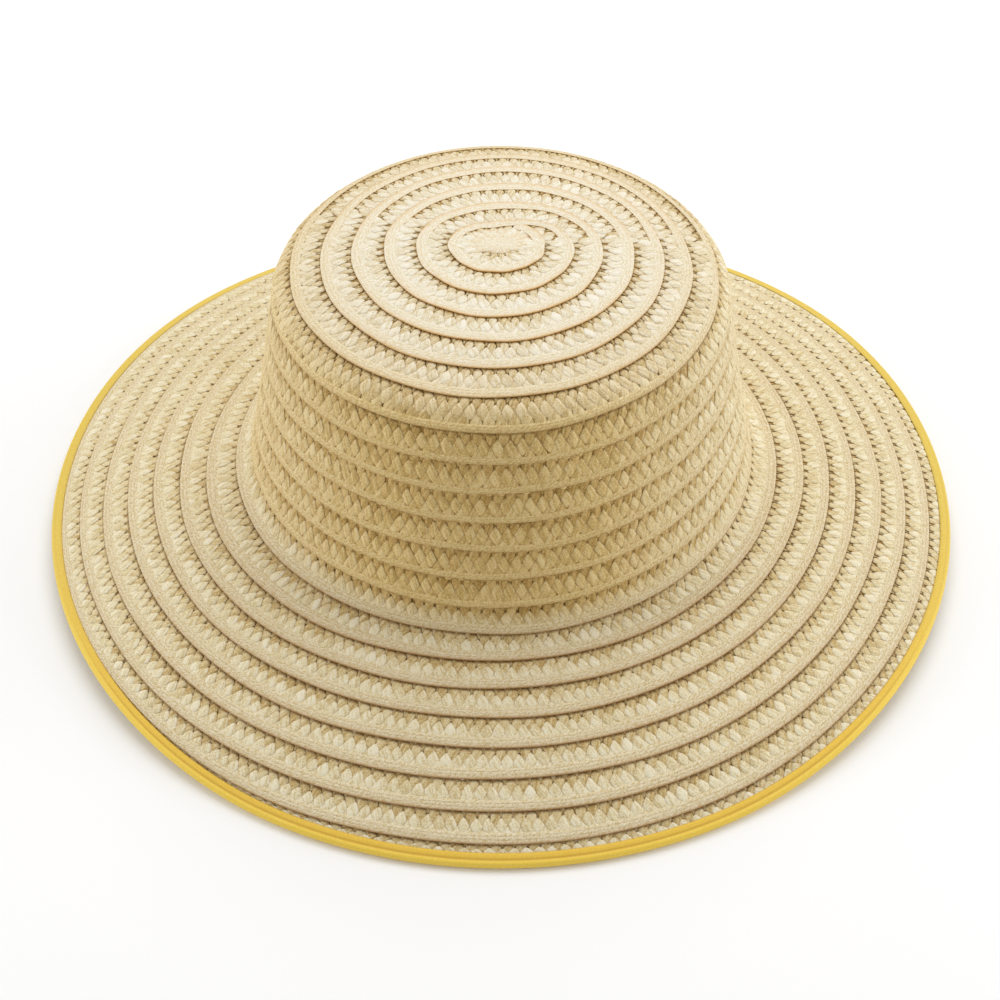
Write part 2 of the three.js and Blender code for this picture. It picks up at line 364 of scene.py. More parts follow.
def straw_material(name, tones, browns, end_shade):
    """The edges, and the inner end where the strand dives under its neighbour, are painted brown as shade.
    """
    material, add, shader = new_material(name)
    place = add("ShaderNodeAttribute", {"attribute_name": "straw_place"}).outputs["Vector"]
    tone = add("ShaderNodeAttribute", {"attribute_name": "straw_tone"}).outputs["Fac"]
    across, along, fibre_mm = add("ShaderNodeSeparateXYZ", None, {0: place}).outputs
    fibre_x = add("ShaderNodeMath", DIVIDE, {0: fibre_mm, 1: FIBRE_SPACING})
    fibre_z = add("ShaderNodeMath", MULTIPLY, {0: tone, 1: FIBRE_SHIFT})
    fibre_place = add("ShaderNodeCombineXYZ", None, {0: fibre_x, 1: along, 2: fibre_z})
    fibres = add("ShaderNodeTexNoise", None, {"Vector": fibre_place, "Scale": 1.0})
    tone_shift = add("ShaderNodeMapRange", {"clamp": False}, {0: tone, 3: -TONE_SPREAD, 4: TONE_SPREAD})
    contrast = {0: fibres, 1: FIBRE_CONTRAST, 2: (1 - FIBRE_CONTRAST) / 2}
    streaks = add("ShaderNodeMath", MULTIPLY_ADD, contrast)
    mixed = with_grain(add, add("ShaderNodeMath", ADD, {0: streaks, 1: tone_shift}), STRAND_GRAIN)
    straws = tones_of(add, mixed, STRAND_STOPS, tones)
    # painted shade in the creases: at the edges across the strand and at its tucked end
    from_middle = add("ShaderNodeMath", ABSOLUTE, {0: across})
    edge = add("ShaderNodeMapRange", None, {0: from_middle, 1: EDGE_START, 4: EDGE_SHADE})
    start, stop, strength = end_shade
    end = add("ShaderNodeMapRange", None, {0: along, 1: start, 2: stop, 3: strength, 4: 0.0})
    brown = add("ShaderNodeMath", MAXIMUM, {0: edge, 1: end})
    pale, dark = painted_light_by_height(add, *straws), painted_light_by_height(add, *map(linear, browns))
    colour = add("ShaderNodeMix", COLOURS, {0: brown, 6: pale, 7: dark})
    finish_surface(add, shader, colour, STRAND_ROUGHNESS, STRAW_SHEEN, fibres, FIBRE_BUMP)
    return material


top_straw, heel_straw, buried_straw = [straw_material(name, *looks) for name, looks in STRAWS.items()]
print("materials:", list(STRAWS))

# %% [markdown]
# ## The plait's edge and its core
# The strands fold back at the edge of the plait and make a smooth band, the selvedge, with short slanting
# folds along it. Behind the weave lies the next layer of straw, the core, which only shows at the bottom
# of the gaps; it is coloured a darker brown than the straw, as painted shade. The folds could be modelled
# one by one, but they are too flat to cast a shadow, so a slanted noise draws them. The selvedge reads
# plait_mm: millimetres along and across the plait, and how much painted shade it has.

# %% Selvedge and core materials
FOLD_LENGTH, FOLD_WIDTH, FOLD_SLANT = 1.3, 0.55, math.radians(28)  # mm
BAND_GRAIN, BAND_STOPS, BAND_ROUGHNESS, FOLD_BUMP = 0.8, (0.3, 0.64), 0.6, (0.8, 0.35)
SELVEDGE_TONES = ("#e2d3ac #f3ecda", "#d0ae6a #edd59a", "#cfb884 #ebdfc0")
SELVEDGE_SHADES = ("#dca855", "#966c2c", "#a67434")
# the core's browns, darker than the straw: painted shade at the bottom of the gaps
CORE_SHADES = ("#d0a050 #dcb266", "#9a7434 #b08a48", "#c09048 #d2a660")
CORE_SPECKLE, CORE_ROUGHNESS = 3.0, 0.8  # speckle in mm


def selvedge_material():
    material, add, shader = new_material("natural straw, folded selvedge")
    place = add("ShaderNodeAttribute", {"attribute_name": "plait_mm"}).outputs["Vector"]
    slant = {0: place, "Rotation": (0.0, 0.0, FOLD_SLANT), "Scale": (FOLD_LENGTH, FOLD_WIDTH, 1.0)}
    slanted = add("ShaderNodeMapping", {"vector_type": "TEXTURE"}, slant)
    folds = add("ShaderNodeTexNoise", None, {"Vector": slanted, "Scale": 1.0, "Detail": 3.0})
    grained = with_grain(add, folds, BAND_GRAIN)
    straws = tones_of(add, grained, BAND_STOPS, SELVEDGE_TONES)
    # the third number of plait_mm is painted shade
    brown = add("ShaderNodeSeparateXYZ", None, {0: place}).outputs[2]
    pale, dark = painted_light_by_height(add, *straws), painted_light_by_height(add, *map(linear, SELVEDGE_SHADES))
    colour = add("ShaderNodeMix", COLOURS, {0: brown, 6: pale, 7: dark})
    finish_surface(add, shader, colour, BAND_ROUGHNESS, STRAW_SHEEN, folds, FOLD_BUMP)
    return material


def core_material():
    material, add, shader = new_material("natural straw, core of the plait")
    place = add("ShaderNodeTexCoord").outputs["Object"]
    speckle = add("ShaderNodeTexNoise", None, {"Vector": place, "Scale": 1 / (CORE_SPECKLE * MM)})
    # painted shade: the core is coloured darker than the straw
    browns = tones_of(add, speckle, EVEN_STOPS, CORE_SHADES)
    finish_surface(add, shader, painted_light_by_height(add, *browns), CORE_ROUGHNESS, STRAW_SHEEN)
    return material


selvedge_straw = selvedge_material()
core_straw = core_material()
print(f'materials: "{selvedge_straw.name}" and "{core_straw.name}"')

# %% [markdown]
# ## One strand
# Where a strand comes to the top of the weave, only a leaf of it shows: a diamond between the strands
# that cross it, a little puffed up, often rounder at its outer end. Whole strands could be woven over and
# under as curves, but most of their length would never be seen. So one leaf is made in plain mesh code, 1
# by 1 by 1, from a width rule, a height rule and a rounded section. It has few faces, because it is
# repeated thousands of times. The fibres of one row slant one way, those of the next the other way.

# %% Strand leaf
LEAF_WIDTH, LEAF_LENGTH, FIBRE_SLANT = 4.5, 6.0, math.radians(22)  # mm, for the fibres alone
FLAT_TOP, RIDGE_ROUND, SECTION_ROUND = 3, 0.5, 0.6  # powers that round the leaf along its ridge and across
LEAVES = {  # sections along, ribs across, roundness of the inner and the outer end, slant of the fibres
    "petal": (5, 7, 1.25, 2.3, FIBRE_SLANT),
    "diamond": (5, 7, 1.15, 1.3, FIBRE_SLANT),
    "tuck": (4, 5, 1.25, 1.25, -FIBRE_SLANT),
    "blunt_tuck": (4, 5, 1.25, 3.0, -FIBRE_SLANT),
    "inside_leaf": (3, 3, 1.3, 1.3, FIBRE_SLANT),
}


def strand_leaf(name, sections, ribs, inner_round, outer_round, slant):
    """A closed leaf from y = -0.5 to 0.5, flat at z = 0. Roundness 1 makes a straight diamond."""
    along = (1 - np.cos(np.linspace(0, np.pi, sections + 2)[1:-1])) / 2
    across = np.sin(np.linspace(-0.5, 0.5, ribs) * np.pi)
    to_end = np.abs(2 * along - 1)
    half_width = 1 - np.where(along < 0.5, to_end**inner_round, to_end**outer_round)
    ridge = (1 - to_end**FLAT_TOP) ** RIDGE_ROUND
    points = [(0.0, -0.5, 0.0)]
    shares = [(0.0, 0.0)]
    for share, width, height in zip(along, half_width, ridge):
        for side in across:
            above = height * (1 - abs(side) ** FLAT_TOP) ** SECTION_ROUND
            points.append((side * width / 2, share - 0.5, above))
            shares.append((side, share))
    points.append((0.0, 0.5, 0.0))
    shares.append((0.0, 1.0))
    faces = []
    last = len(points) - 1
    for rib in range(ribs - 1):
        faces.append((0, 2 + rib, 1 + rib))
        faces.append((last, last - ribs + rib, last - ribs + rib + 1))
        for section in range(sections - 1):
            corner = 1 + section * ribs + rib
            faces.append((corner, corner + 1, corner + ribs + 1, corner + ribs))
    left = [1 + section * ribs for section in range(sections)]
    right = [corner + ribs - 1 for corner in left]
    faces.append((0, *left, last, *reversed(right)))
    places = []
    for (x, y, _), (side, share) in zip(points, shares):
        places.append((side, share, x * LEAF_WIDTH * math.cos(slant) + y * LEAF_LENGTH * math.sin(slant)))
    mesh = new_mesh(name, points, faces)
    store(mesh, "straw_place", places)
    return bpy.data.objects.new(name, mesh)


leaves = {name: strand_leaf(name, *sizes) for name, sizes in LEAVES.items()}
for name, leaf in leaves.items():
    print(name, len(leaf.data.polygons), "faces")

# %% [markdown]
# ## A guide to wind the plait on
# The weave is first laid out straight, as on a bench, in millimetres along and across the plait. A curve
# modifier could bend it, but it knows nothing of the slope and the steps. So a ribbon follows the spiral
# on the hat, and its points know their place in the straight plait (plait_place, from 0 to 1) and the way
# out of the surface (way_out, in metres for each mm, shorter near the tape, where the straw is pressed
# flat). Three more numbers follow the photo: the weave is tight on the side and at the front of the brim
# and more open elsewhere (openness), it closes up again at the brim's left (looseness), and at the back
# of the tip the plait is turned round (reversed).

# %% Guide ribbon
ACROSS_LOW, ACROSS_HIGH, ACROSS_STEPS = -0.4, 1.12, 14
OPEN_PLACES = (66.0, 80.0, 148.0, 158.0)  # mm along the straw: tip, side and brim
LEAST_OPEN, MOST_OPEN = (0.35, 0.0, 0.0, 0.0), (0.65, 0.0, 0.0, 0.74)
OPEN_SINES = (0.2, 0.8)
LEFT_CLOSING = 0.85
REVERSED_FROM, REVERSED_TO, REVERSED_LAST = 0.57, 0.97, 5.3  # shares of a turn, and turns
WEAVE_MIDDLE = 0.325  # across the course, between the last step and the selvedge


def guide_ribbon():
    across = np.linspace(ACROSS_LOW, ACROSS_HIGH, ACROSS_STEPS)
    turn = np.repeat(unit_turns[:, None], ACROSS_STEPS, axis=1)
    distance = course_distance(turn, across[None, :])
    height = 1 - (1 - PRESSED) * smooth_step(distance, PRESS_START, PRESS_END)
    points = hat_points(distance, 0.0, turn)
    place = np.zeros_like(points)
    place[..., 0] = unit_numbers[:, None] / unit_numbers[-1]
    place[..., 1] = np.linspace(0, 1, ACROSS_STEPS)[None, :]
    least = np.interp(distance, OPEN_PLACES, LEAST_OPEN)
    most = np.interp(distance, OPEN_PLACES, MOST_OPEN)
    closing = LEFT_CLOSING * np.clip(-np.cos(2 * np.pi * turn), 0, 1)
    turn_share = turn % 1
    at_back = (turn_share > REVERSED_FROM) & (turn_share < REVERSED_TO)
    corner = (unit_numbers[:-1, None] * ACROSS_STEPS + np.arange(ACROSS_STEPS - 1)[None, :]).ravel()
    faces = np.stack([corner, corner + ACROSS_STEPS, corner + ACROSS_STEPS + 1, corner + 1], axis=1)
    mesh = new_mesh("guide_ribbon", points.reshape(-1, 3), faces)
    store(mesh, "plait_place", place)
    store(mesh, "way_out", (hat_points(distance, 1.0, turn) - points) * height[..., None])
    store(mesh, "openness", most + (least - most) * front_share(turn, OPEN_SINES))
    store(mesh, "looseness", np.where(distance > OPEN_PLACES[2], 1 - closing, 1))
    store(mesh, "reversed", (at_back & (turn < REVERSED_LAST)).astype(float))
    return mesh


guide = guide_ribbon()
print("guide ribbon:", len(guide.polygons), "faces")

# %% [markdown]
# ## Geometry Nodes: a row of strands, wound on the hat
# One tree makes every row of the weave. It lays a straight line of points, one for each unit, sets a leaf
# on each with a little seeded scatter in place, lean and size, gives each leaf its tone, realizes the
# leaves, and then moves every point to the hat by looking up its place in the guide ribbon. Leaves could
# be set straight on the hat, but rigid copies would stand off the shoulder and the flare. Winding after
# realizing bends each leaf with the straw below it.

# %% Tree for a row of strands
ROW_INPUTS = {
    "Geometry": ("Guide",),
    "Object": ("Leaf",),
    "Int": ("Units", "Seed"),
    "Float": (
        "First unit", "Across", "Base", "Width", "Length", "Height", "Tilt",
        "Turned over", "Turns round", "Opens by", "Pales by",
    ),
    "Material": ("Straw",),
}
GUIDE_VALUES = {"FLOAT_VECTOR": ("position", "way_out"), "FLOAT": ("openness", "looseness", "reversed")}
SCATTER = {  # kind of number and its first socket, lowest, highest, how far on from the seed
    "place": ("FLOAT_VECTOR", 0, (-0.22, -0.25, -0.05), (0.22, 0.25, 0.05), 0.0),  # mm
    "size": ("FLOAT_VECTOR", 0, (0.93, 0.93, 0.88), (1.07, 1.07, 1.12), 1000.0),  # shares
    "lean": ("FLOAT", 2, -0.1, 0.1, 2000.0),  # radians
    "tone": ("FLOAT", 2, 0.0, 1.0, 3000.0),
}


def straw_row_tree():
    tree = bpy.data.node_groups.new("wound row of strands", "GeometryNodeTree")
    tree.is_modifier = True
    for kind, labels in ROW_INPUTS.items():
        for label in labels:
            tree.interface.new_socket(name=label, in_out="INPUT", socket_type="NodeSocket" + kind)
    tree.interface.new_socket(name="Shape", in_out="OUTPUT", socket_type="NodeSocketGeometry")
    add = partial(add_node, tree)
    given = add("NodeGroupInput").outputs

    luck = {}
    for label, (kind, socket, low, high, further) in SCATTER.items():
        seed = add("ShaderNodeMath", ADD, {0: given["Seed"], 1: further})
        limits = {socket: low, socket + 1: high, "Seed": seed}
        luck[label] = add("FunctionNodeRandomValue", {"data_type": kind}, limits)

    # the place in the straight plait, looked up in the guide
    x, y, z = add("ShaderNodeSeparateXYZ", None, {0: add("GeometryNodeInputPosition")}).outputs
    along = add("ShaderNodeMath", DIVIDE, {0: x, 1: UNIT * float(unit_numbers[-1])})
    across = add("ShaderNodeMapRange", None, {0: y, 1: ACROSS_LOW * PITCH, 2: ACROSS_HIGH * PITCH})
    wanted = add("ShaderNodeCombineXYZ", None, {0: along, 1: across})
    vector = {"data_type": "FLOAT_VECTOR"}
    guide_place = add("GeometryNodeInputNamedAttribute", vector, {"Name": "plait_place"})
    found = {}
    for kind, labels in GUIDE_VALUES.items():
        for label in labels:
            source = add("GeometryNodeInputNamedAttribute", {"data_type": kind}, {"Name": label})
            lookup = {0: given["Guide"], 1: source, 2: guide_place, 3: wanted}
            found[label] = add("GeometryNodeSampleUVSurface", {"data_type": kind}, lookup)

    # a straight line of points, and the other side of the weave where the plait is turned round
    first = add("ShaderNodeMath", MULTIPLY, {0: given["First unit"], 1: UNIT})
    start = add("ShaderNodeCombineXYZ", None, {0: first, 1: given["Across"], 2: given["Base"]})
    spacing = {"Count": given["Units"], "Start Location": start, "Offset": (UNIT, 0.0, 0.0)}
    line = add("GeometryNodeMeshLine", {"mode": "OFFSET"}, spacing)
    round_here = add("ShaderNodeMath", {"operation": "GREATER_THAN"}, {0: found["reversed"], 1: 0.5})
    turns_round = add("ShaderNodeMath", MULTIPLY, {0: round_here, 1: given["Turns round"]})
    to_middle = add("ShaderNodeMath", SUBTRACT, {0: WEAVE_MIDDLE * PITCH, 1: given["Across"]})
    half_way = add("ShaderNodeMath", MULTIPLY, {0: to_middle, 1: turns_round})
    sideways = add("ShaderNodeCombineXYZ", None, {1: half_way})
    offset = add("ShaderNodeVectorMath", MULTIPLY_ADD, {0: sideways, 1: (0.0, 2.0, 0.0), 2: luck["place"]})
    points = add("GeometryNodeSetPosition", None, {"Geometry": line, "Offset": offset})

    # a leaf on each point, narrower where the weave is open
    gaping = add("ShaderNodeMath", MULTIPLY, {0: found["openness"], 1: found["looseness"]})
    narrower = add("ShaderNodeMath", MULTIPLY, {0: gaping, 1: given["Opens by"]})
    kept_width = add("ShaderNodeMath", SUBTRACT, {0: 1.0, 1: narrower})
    width = add("ShaderNodeMath", MULTIPLY, {0: given["Width"], 1: kept_width})
    size = add("ShaderNodeCombineXYZ", None, {0: width, 1: given["Length"], 2: given["Height"]})
    scale = add("ShaderNodeVectorMath", MULTIPLY, {0: size, 1: luck["size"]})
    heading = add("ShaderNodeMath", MULTIPLY_ADD, {0: turns_round, 1: math.pi, 2: luck["lean"]})
    rotation = add("ShaderNodeCombineXYZ", None, {1: given["Turned over"], 2: heading})
    leaf = add("GeometryNodeObjectInfo", None, {"Object": given["Leaf"], "As Instance": True})
    copies = {"Points": points, "Instance": leaf.outputs["Geometry"], "Rotation": rotation, "Scale": scale}
    row = add("GeometryNodeInstanceOnPoints", None, copies)
    paler = {0: found["openness"], 1: given["Pales by"], 2: luck["tone"]}
    tone = add("ShaderNodeMath", MULTIPLY_ADD, paler)
    on_copies = {"data_type": "FLOAT", "domain": "INSTANCE"}
    named = {"Geometry": row, "Name": "straw_tone", "Value": tone}
    toned = add("GeometryNodeStoreNamedAttribute", on_copies, named)

    # wound on the hat, and tilted because the outer edge lies on the next turn
    straight = add("GeometryNodeRealizeInstances", None, {0: toned})
    course_share = add("ShaderNodeMath", DIVIDE, {0: y, 1: PITCH})
    tilted = add("ShaderNodeMath", MULTIPLY_ADD, {0: course_share, 1: given["Tilt"], 2: z})
    raised = add("ShaderNodeVectorMath", SCALE, {0: found["way_out"], "Scale": tilted})
    on_hat = add("ShaderNodeVectorMath", ADD, {0: found["position"], 1: raised})
    wound = add("GeometryNodeSetPosition", None, {"Geometry": straight, "Position": on_hat})
    smooth = add("GeometryNodeSetShadeSmooth", None, {0: wound})
    finished = add("GeometryNodeSetMaterial", None, {"Geometry": smooth, "Material": given["Straw"]})
    add("NodeGroupOutput", None, {0: finished})
    return tree


row_tree = straw_row_tree()
print("tree:", row_tree.name, "with", len(row_tree.nodes), "nodes")

# %% [markdown]
# ## Weave the three stretches
# Hat makers call the stretches of the spiral the tip, the side and the brim, and each replaces its packed
# solid. Diamonds tile the plait: every row lies half a unit along and half a diamond across from the one
# before. A course shows a row of tucked strands at the foot of the step, with buried strands below them,
# a row of petals in the middle, and a row of blunt strands that run into the selvedge. Three rows of the
# same weave show inside the hat, turned over. One woven unit could be repeated as a block, but with
# separate rows each one has its own leaf, tone and openness. On the side the plait is pulled tighter,
# with straight diamonds.

# %% Rows of strands
STRETCHES = {  # node: from and to, in mm along the straw
    "crown_tip": (1.5, float(arc_starts[3])),
    "crown_side": (float(arc_starts[3]), float(arc_starts[4])),
    "brim": (float(arc_starts[4]), EDGE_DISTANCE + PITCH),
}
TILT = 0.45
TURNED_OVER = math.pi
PALES_BY = 1.2
STYLES = {  # leaf of the middle row, its place across the course, half diamond, width of the outer rows
    "crown_tip": ("petal", 0.40, 0.24, 1.24),
    "crown_side": ("diamond", 0.45, 0.285, 1.24),
    "brim": ("petal", 0.42, 0.25, 1.28),
}
ROWS = {  # leaf, rows out, half units along, length, width, opens by, base, height, turned over, straw
    "buried_strands": ("inside_leaf", -2, 0, 1.0, None, 0.85, -0.3, 0.38, 0.0, buried_straw),
    "heel_strands": ("tuck", -1, 1, 1.1, None, 0.28, -0.22, 0.44, 0.0, heel_straw),
    "top_strands": (None, 0, 0, 1.0, 1.16, 0.05, -0.1, 0.5, 0.0, top_straw),
    "edge_strands": ("blunt_tuck", 1, 1, 1.1, None, 0.0, -0.25, 0.5, 0.0, top_straw),
    "inside_heel_strands": ("inside_leaf", -0.65, 1, 1.0, 1.12, 0.0, -1.0, 0.45, TURNED_OVER, top_straw),
    "inside_strands": ("inside_leaf", 0.35, 0, 1.0, 1.12, 0.0, -1.0, 0.5, TURNED_OVER, top_straw),
    "inside_edge_strands": ("inside_leaf", 1.35, 1, 1.0, 1.12, 0.0, -1.0, 0.4, TURNED_OVER, top_straw),
}
OVERLAP = 1.12
FIRST_SEED = 11
END_UNITS = 2  # left free at both ends of the guide, so that no strand reaches past it
SPLIT_MIDDLE, SPLIT_HALF_DIAMOND = 0.42, 0.267  # rows change stretch at the same units as their neighbours
pieces = []


def finish_piece(name, mesh, node, slot="straw_plait"):
    piece = put_in_scene(bpy.data.objects.new(name, mesh))
    pieces.append((piece, node, slot))
    print(f"{name}: {sum(len(face.vertices) - 2 for face in mesh.polygons)} triangles")
    return piece


def shape_from_tree(tree, base_mesh, values):
    """The tree's result as a plain mesh. Its inputs are set by their identifiers before it is evaluated."""
    carrier = put_in_scene(bpy.data.objects.new("carrier", base_mesh))
    modifier = carrier.modifiers.new("shape", "NODES")
    modifier.node_group = tree
    sockets = [item for item in tree.interface.items_tree if item.in_out == "INPUT"]
    identifiers = {socket.name: socket.identifier for socket in sockets}
    for label, value in values.items():
        modifier[identifiers[label]] = value
    depsgraph = bpy.context.evaluated_depsgraph_get()
    mesh = bpy.data.meshes.new_from_object(carrier.evaluated_get(depsgraph))
    bpy.data.objects.remove(carrier)
    return mesh


def unit_range(node, across, shift, squeezed):
    """First and last unit whose strand lies in the node's stretch. Squeezed rows run on beside the tape."""
    low, high = STRETCHES[node]
    centres = np.interp(unit_numbers + shift, unit_numbers, unit_turns)
    distance = distance_at(FIRST_STEP_TURNS + centres + across)
    reached = course_distance(centres, across) if squeezed else distance
    on_guide = (unit_numbers >= END_UNITS) & (unit_numbers <= unit_numbers[-1] - END_UNITS)
    inside = np.flatnonzero(on_guide & (distance >= low) & (distance < high) & (reached < CUT_DISTANCE))
    return int(inside[0]), int(inside[-1])


def weave_row(node, row_number, row_name):
    leaf, rows_out, half_units, longer, wider, opens_by, base, height, turned_over, straw = ROWS[row_name]
    middle_leaf, middle, half_diamond, outer_width = STYLES[node]
    shift = half_units / 2
    split_across = SPLIT_MIDDLE + rows_out * SPLIT_HALF_DIAMOND
    first, last = unit_range(node, split_across, shift, squeezed=rows_out <= 0 and not turned_over)
    values = {
        "Leaf": leaves[leaf or middle_leaf],
        "First unit": first + shift,
        "Units": last - first + 1,
        "Across": (middle + rows_out * half_diamond) * PITCH,
        "Base": base,
        "Width": (wider or outer_width) * UNIT,
        "Length": OVERLAP * longer * 2 * half_diamond * PITCH,
        "Height": height,
        "Tilt": TILT,
        "Turned over": turned_over,
        "Turns round": 0.0 if turned_over else 1.0,
        "Opens by": opens_by,
        "Pales by": PALES_BY if straw == heel_straw else 0.0,
        "Seed": FIRST_SEED + row_number,
        "Straw": straw,
    }
    mesh = shape_from_tree(row_tree, guide, values)
    finish_piece(f"{node}_{row_name}", mesh, node)


for node in STRETCHES:
    for row_number, row_name in enumerate(ROWS):
        weave_row(node, row_number, row_name)

# %% [markdown]
# ## The selvedge and the core of the plait
# The outer edge of every course is a smooth band, where the strands fold back, with two fine lines along
# it and a round lip. The fine lines and the lip's underside are painted brown as shade, and the band is
# painted tan towards the lip as shade; on the lip this is strongest at the front. The inner edge of the
# plait shows inside the hat in the same way. Between the two faces lies the core. Curves with a bevel
# could make all three, but their section could not change on the way: the band is narrower on the side,
# flatter where the photo shows it so, and at the back of the tip it has a step at its inner edge, painted
# brown as shade. So each is a section swept along the spiral in mesh code. At its start the band runs
# back round the middle and closes the first ring.

# %% Bands that follow the spiral
LIP = [  # across the course, height in mm above the tilted plait, and its painted shade
    (0.755, 0.62, 0.0), (0.84, 0.66, 0.05), (0.857, 0.56, 0.3), (0.874, 0.66, 0.1), (0.93, 0.66, 0.32),
    (0.96, 0.6, 0.56), (0.98, 0.48, 0.8), (0.988, 0.1, 0.95), (0.975, -0.15, 1.0), (0.93, -0.25, 1.0),
]
# at the back of the tip the band's inner edge is a step, with painted shade on it
STEPPED = [(0.655, -0.1, 0.7), (0.65, 0.3, 0.6), (0.656, 0.5, 0.3), (0.672, 0.6, 0.0), (0.715, 0.63, 0.0)]
SMOOTH = [(0.6, -0.1, 0.0), (0.615, 0.2, 0.0), (0.66, 0.42, 0.0), (0.7, 0.56, 0.0), (0.725, 0.58, 0.0)]
# a fine line along the band, painted darker as shade
FINE_LINE = [(0.74, 0.5, 0.3)]
INSIDE = [  # across the course and height in mm
    (0.12, -0.95), (0.1, -1.32), (0.04, -1.46), (-0.04, -1.5), (-0.11, -1.4), (-0.15, -1.15),
    (-0.13, -0.95), (-0.02, -0.9),
]
CORE = [  # across the course and height in mm, with the top at 0
    (-0.14, -0.06), (0.04, -0.02), (0.22, 0.0), (0.4, 0.0), (0.65, 0.0), (0.9, 0.0), (0.95, -0.14),
    (0.93, -0.59), (0.4, -0.67), (-0.08, -0.67), (-0.14, -0.44),
]
CORE_TOP = {"crown_tip": -0.3, "crown_side": -0.1, "brim": -0.32}  # higher under the tight weave of the side
FLATNESS = {"crown_tip": (0.54, 0.46), "crown_side": (0.9, 0.75), "brim": (1.0, 0.55)}  # front, elsewhere
NARROWS_AT, NARROWINGS = (64.0, 82.0, 146.0, 160.0), (0.0, 0.42, 0.42, 0.0)  # mm along the straw, shares
SELVEDGE_ACROSS, INSIDE_ACROSS, CORE_ACROSS = 0.85, 0.0, 0.4
SELVEDGE_START, GROWS_OVER, LEAST_GROWN = -1.23, 0.12, 0.05  # turns, and the height's first share
RING_TURN, RING_COURSES, RING_GROWTH = -1.0, 0.38, 0.44
BAND_SINES, TWIST_SINES = (0.1, 0.95), (-0.45, -0.05)
SIDE_SHADE, LIP_SHADE_FROM = 0.15, 0.3  # how much of the lip's painted shade stays at the sides, and above which painted shade a corner counts as lip
RING_STEP = {"crown_tip": 0.5, "crown_side": 1.0, "brim": 1.0}  # units from ring to ring
MIDDLE_UNITS, MIDDLE_STEP = 30, 0.125  # the innermost coils are short, so they get more rings


def loop_faces(loops, size, closed=False):
    """Faces between neighbouring loops of points, each loop closed on itself."""
    corner = np.arange((loops if closed else loops - 1) * size)
    onwards = corner - corner % size + (corner + 1) % size
    faces = np.stack([corner, corner + size, onwards + size, onwards], axis=1)
    return (faces % (loops * size)).tolist()


def band_distance(turn, across):
    """As course_distance, but before the first full turn the band runs back round the middle as a ring."""
    ring = distance_at(across + RING_COURSES + RING_GROWTH * (turn - RING_TURN))
    return np.where(turn < RING_TURN, ring, course_distance(turn, across))


def ring_numbers(node, first, last):
    """The units, with parts of units, where the section is set."""
    middle_end = max(first, MIDDLE_UNITS)
    step = RING_STEP[node]
    fine = np.arange(first, middle_end, MIDDLE_STEP)
    return np.concatenate([fine, np.arange(middle_end, last + step / 2, step)])


def swept_band(name, node, sections, material, split_across, start_turn=START_TURN):
    is_selvedge = split_across == SELVEDGE_ACROSS
    first, last = unit_range(node, split_across, 0.0, squeezed=not is_selvedge)
    first = max(first, int(np.searchsorted(unit_turns, start_turn)))
    numbers = ring_numbers(node, first, min(last + 1, int(unit_numbers[-1])))
    turn = np.interp(numbers, unit_numbers, unit_turns)
    course_end = distance_at(FIRST_STEP_TURNS + turn + SELVEDGE_ACROSS)
    narrowing = np.interp(course_end, NARROWS_AT, NARROWINGS) if is_selvedge else 0.0
    grown = np.clip((turn - start_turn) / GROWS_OVER, LEAST_GROWN, 1)
    # the band's painted shade is strongest at the front, and on the tip also at the back; at the sides
    # SIDE_SHADE of it stays
    front = front_share(turn, BAND_SINES)
    back = np.where(turn < REVERSED_LAST, 1 - front_share(turn, TWIST_SINES), 0)
    dark = np.maximum(front, back) if node == "crown_tip" else front
    shown = SIDE_SHADE + (1 - SIDE_SHADE) * dark
    front_flatness, other_flatness = FLATNESS[node]
    flatness = other_flatness + (front_flatness - other_flatness) * front
    front_section, back_section = sections
    rings, count = len(numbers), len(front_section)
    points = np.zeros((rings, count, 3))
    places = np.zeros((rings, count, 3))
    for corner in range(count):
        at_front, at_back = front_section[corner][:, None], back_section[corner][:, None]
        across, above, brown = at_front * (1 - back) + at_back * back
        across = across + narrowing * (1 - across)
        distance = band_distance(turn, across)
        press = np.interp(distance, (PRESS_START, PRESS_END), (0, 1))
        raised = np.where(above > 0, grown * flatness * above, above) + TILT * across
        points[:, corner] = hat_points(distance, raised * (1 - (1 - PRESSED) * press), turn)
        # painted shade: less at the sides, and none where the tape presses the straw
        brown = brown * np.where(brown > LIP_SHADE_FROM, shown, 1) * (1 - press)
        places[:, corner] = np.stack([numbers * UNIT, across * PITCH, brown], axis=-1)
    faces = loop_faces(rings, count)
    end = (rings - 1) * count
    faces.append(list(range(count)))
    faces.append(list(range(end + count - 1, end - 1, -1)))
    mesh = new_mesh(name, points.reshape(-1, 3), faces, material)
    store(mesh, "plait_mm", places)
    finish_piece(name, mesh, node)


smooth_selvedge = np.array(SMOOTH + FINE_LINE + LIP)
stepped_selvedge = np.array(STEPPED + FINE_LINE + LIP)
inside_section = np.pad(INSIDE, ((0, 0), (0, 1)))
for node in STRETCHES:
    back_selvedge = stepped_selvedge if node == "crown_tip" else smooth_selvedge
    outside = (smooth_selvedge, back_selvedge)
    core_section = np.pad(np.array(CORE) + (0.0, CORE_TOP[node]), ((0, 0), (0, 1)))
    swept_band(f"{node}_selvedge", node, outside, selvedge_straw, SELVEDGE_ACROSS, SELVEDGE_START)
    swept_band(f"{node}_inside_selvedge", node, [inside_section] * 2, selvedge_straw, INSIDE_ACROSS)
    swept_band(f"{node}_core", node, [core_section] * 2, core_straw, CORE_ACROSS)

